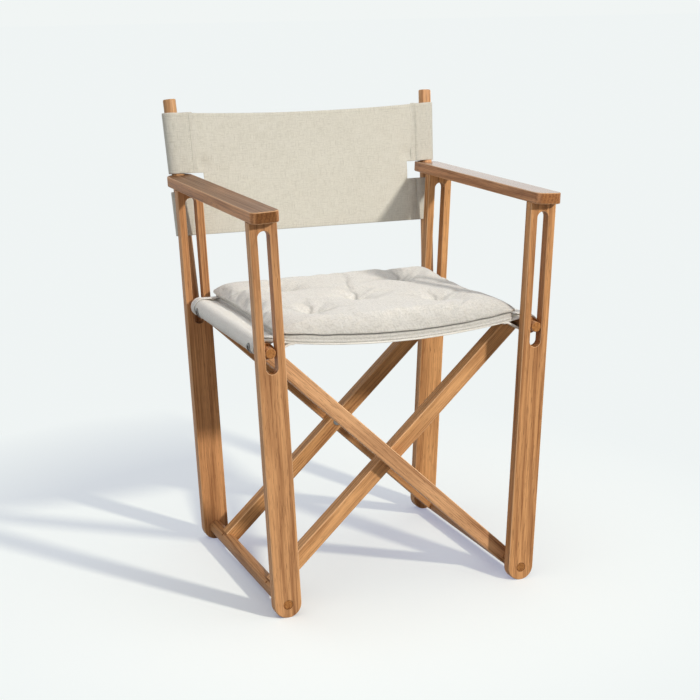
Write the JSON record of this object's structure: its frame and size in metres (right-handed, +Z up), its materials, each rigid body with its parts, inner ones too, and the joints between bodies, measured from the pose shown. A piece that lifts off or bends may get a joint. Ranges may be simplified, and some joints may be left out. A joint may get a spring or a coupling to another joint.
{
  "type": "folding armchair",
  "caption": "Folding wooden armchair with crossed legs, slotted side frames, a cloth sling seat with a tufted cushion and a cloth back between leaning posts.",
  "frame": {"origin": "middle of the outer box at floor level", "axes": "+X to the right as seen from the front, +Y from the front to the back, +Z up"},
  "size_m": [0.5158, 0.5051, 0.7788],
  "materials": {
    "teak": "oiled",
    "peg_wood": "oiled",
    "sling_cloth": "woven",
    "cushion_cloth": "woven",
    "steel": "satin"
  },
  "bodies": {
    "left_side": {"leg_front_left": "teak", "leg_rear_left": "teak", "armrest_left": "teak", "armrest_dowels_left": "peg_wood", "back_post_left": "teak", "post_screws_left": "steel", "back_sling": "sling_cloth"},
    "inner_frame": {"cross_bar_front_inner": "teak", "cross_bar_rear_inner": "teak", "lower_rail_left": "teak", "seat_rail_right": "teak", "tenon_pegs_inner": "peg_wood", "seat_sling": "sling_cloth", "seat_cushion": "cushion_cloth", "cushion_straps": "cushion_cloth", "eyelets_right": "steel"},
    "outer_frame": {"cross_bar_front_outer": "teak", "cross_bar_rear_outer": "teak", "seat_rail_left": "teak", "lower_rail_right": "teak", "tenon_pegs_outer": "peg_wood", "pivot_bolts": "steel", "pivot_washers": "steel", "eyelets_left": "steel"},
    "right_side": {"leg_front_right": "teak", "leg_rear_right": "teak", "armrest_right": "teak", "armrest_dowels_right": "peg_wood", "back_post_right": "teak", "post_screws_right": "steel"}
  },
  "joints": [
    {"name": "fold", "type": "hinge", "parent": "left_side", "child": "inner_frame", "pos_m": [-0.2055, -0.02956, 0.0217], "axis": [0, -1, 0], "range_deg": [0, 38.9], "deforming": ["seat_sling", "seat_cushion", "cushion_straps", "back_sling"]},
    {"name": "cross_pivot", "type": "hinge", "parent": "inner_frame", "child": "outer_frame", "pos_m": [0, -0.02956, 0.21615], "axis": [0, -1, 0], "range_deg": [-73.2, 0]},
    {"name": "right_foot_pivot", "type": "hinge", "parent": "outer_frame", "child": "right_side", "pos_m": [0.2055, -0.02956, 0.0217], "axis": [0, -1, 0], "range_deg": [0, 39]}
  ],
  "couplings": [
    {"joint": "cross_pivot", "follows": "fold", "ratio": -1.8792},
    {"joint": "right_foot_pivot", "follows": "fold", "ratio": 1}
  ]
}
